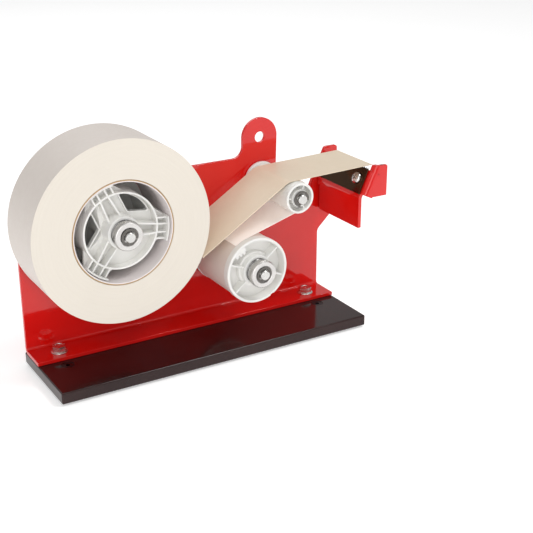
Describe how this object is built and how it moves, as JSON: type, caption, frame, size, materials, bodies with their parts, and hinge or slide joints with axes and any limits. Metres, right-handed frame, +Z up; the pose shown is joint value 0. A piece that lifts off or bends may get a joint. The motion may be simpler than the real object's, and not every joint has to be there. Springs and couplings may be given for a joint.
{
  "type": "bench tape dispenser",
  "caption": "Bench dispenser for liner-backed tape: folded sheet frame on a heavy base, supply hub with roll, liner take-up drum, guide roller and toothed cutter.",
  "frame": {"origin": "centre of the bounding box's underside, on the surface the feet stand on", "axes": "+X along the base from the supply roll to the cutter, -Y towards the user, +Z up"},
  "size_m": [0.2964, 0.086, 0.1851],
  "materials": {
    "red_paint": "high gloss enamel",
    "black_enamel": "high gloss black",
    "stainless": "bright turned",
    "blade_steel": "dark polished",
    "black_oxide": "black oxide",
    "white_plastic": "satin moulded",
    "rubber": "matte",
    "cardboard": null,
    "tape_side": "wound tape edge",
    "tape_face": "adhesive face",
    "liner_paper": "release-coated paper",
    "felt": "pressed felt"
  },
  "bodies": {
    "frame": {"base_plate": "black_enamel", "foot_front_left": "rubber", "foot_front_right": "rubber", "foot_rear_left": "rubber", "foot_rear_right": "rubber", "drive_belt": "rubber", "base_screw_left": "black_oxide", "base_screw_right": "black_oxide", "supply_clip": "black_oxide", "takeup_clip": "black_oxide", "guide_clip": "black_oxide", "frame_plate": "red_paint", "cutter_bracket": "red_paint", "flange_bolt_left": "stainless", "flange_bolt_right": "stainless", "blade_screw_front": "stainless", "blade_screw_rear": "stainless", "blade_nut_front": "stainless", "blade_nut_rear": "stainless", "bracket_screw_lower": "stainless", "bracket_screw_upper": "stainless", "supply_shaft": "stainless", "takeup_shaft": "stainless", "guide_shaft": "stainless", "supply_rear_washer": "stainless", "takeup_rear_washer": "stainless", "guide_rear_washer": "stainless", "supply_rear_nut": "stainless", "takeup_rear_nut": "stainless", "guide_rear_nut": "stainless", "supply_spring": "stainless", "takeup_spring": "stainless", "cutter_blade": "blade_steel", "tape_web": "tape_face", "liner_web": "liner_paper"},
    "supply_reel": {"supply_hub": "white_plastic", "tape_core": "cardboard", "tape_roll": "tape_side", "supply_pulley": "white_plastic"},
    "takeup_reel": {"takeup_drum": "white_plastic", "liner_winding": "liner_paper", "clutch_felt": "felt"},
    "takeup_drive": {"takeup_pulley": "white_plastic"},
    "guide": {"guide_roller": "white_plastic"},
    "supply_washer_body": {"supply_pressure_washer": "stainless"},
    "supply_nut_body": {"supply_tension_nut": "stainless"},
    "takeup_washer_body": {"takeup_pressure_washer": "stainless"},
    "takeup_nut_body": {"takeup_tension_nut": "stainless"}
  },
  "joints": [
    {"name": "supply_spin", "type": "hinge", "parent": "frame", "child": "supply_reel", "pos_m": [-0.07855, 0, 0.1154], "axis": [0, -1, 0], "continuous": true},
    {"name": "takeup_spin", "type": "hinge", "parent": "frame", "child": "takeup_reel", "pos_m": [0.02875, 0, 0.0664], "axis": [0, -1, 0], "continuous": true},
    {"name": "takeup_drive_spin", "type": "hinge", "parent": "frame", "child": "takeup_drive", "pos_m": [0.02875, 0.0285, 0.0664], "axis": [0, -1, 0], "continuous": true},
    {"name": "guide_spin", "type": "hinge", "parent": "frame", "child": "guide", "pos_m": [0.06755, 0, 0.1188], "axis": [0, -1, 0], "continuous": true},
    {"name": "supply_washer_slide", "type": "slide", "parent": "frame", "child": "supply_washer_body", "axis": [0, 1, 0], "range_m": [-0.0019, 0.00085], "deforming": ["supply_spring"]},
    {"name": "supply_nut_turn", "type": "hinge", "parent": "supply_washer_body", "child": "supply_nut_body", "pos_m": [-0.07855, -0.025, 0.1154], "axis": [0, 1, 0], "range_deg": [-540, 240]},
    {"name": "takeup_washer_slide", "type": "slide", "parent": "frame", "child": "takeup_washer_body", "axis": [0, 1, 0], "range_m": [-0.0019, 0.00085], "deforming": ["takeup_spring"]},
    {"name": "takeup_nut_turn", "type": "hinge", "parent": "takeup_washer_body", "child": "takeup_nut_body", "pos_m": [0.02875, -0.0336, 0.0664], "axis": [0, 1, 0], "range_deg": [-540, 240]}
  ],
  "couplings": [
    {"joint": "takeup_spin", "follows": "supply_spin", "ratio": 2.6705},
    {"joint": "takeup_drive_spin", "follows": "supply_spin", "ratio": 3},
    {"joint": "guide_spin", "follows": "supply_spin", "ratio": -5.5317},
    {"joint": "supply_washer_slide", "follows": "supply_nut_turn", "m_per_rad": 0.00019894},
    {"joint": "takeup_washer_slide", "follows": "takeup_nut_turn", "m_per_rad": 0.00019894}
  ]
}
